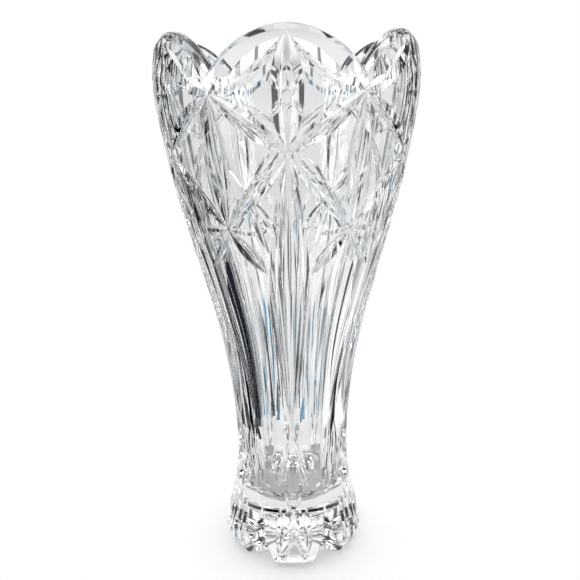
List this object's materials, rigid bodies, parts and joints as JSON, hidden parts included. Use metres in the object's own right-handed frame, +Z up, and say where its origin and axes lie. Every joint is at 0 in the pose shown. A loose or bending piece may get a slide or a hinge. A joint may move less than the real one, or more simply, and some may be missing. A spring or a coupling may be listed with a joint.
{
  "type": "cut crystal vase",
  "caption": "Tall footed flower vase in one piece of clear cut glass: flared bell with a scalloped rim, star and leaf cuts, narrow fluted stem and a lobed foot.",
  "frame": {"origin": "middle of the flat face under the foot, on the surface that the vase stands on", "axes": "+Z up along the vase's axis, -Y towards the front, where one scallop of the rim faces the viewer"},
  "size_m": [0.1176, 0.117, 0.254],
  "materials": {
    "crystal": "polished clear lead crystal with mirror-smooth ground facets"
  },
  "bodies": {
    "root": {"vase_body": "crystal"}
  },
  "joints": []
}
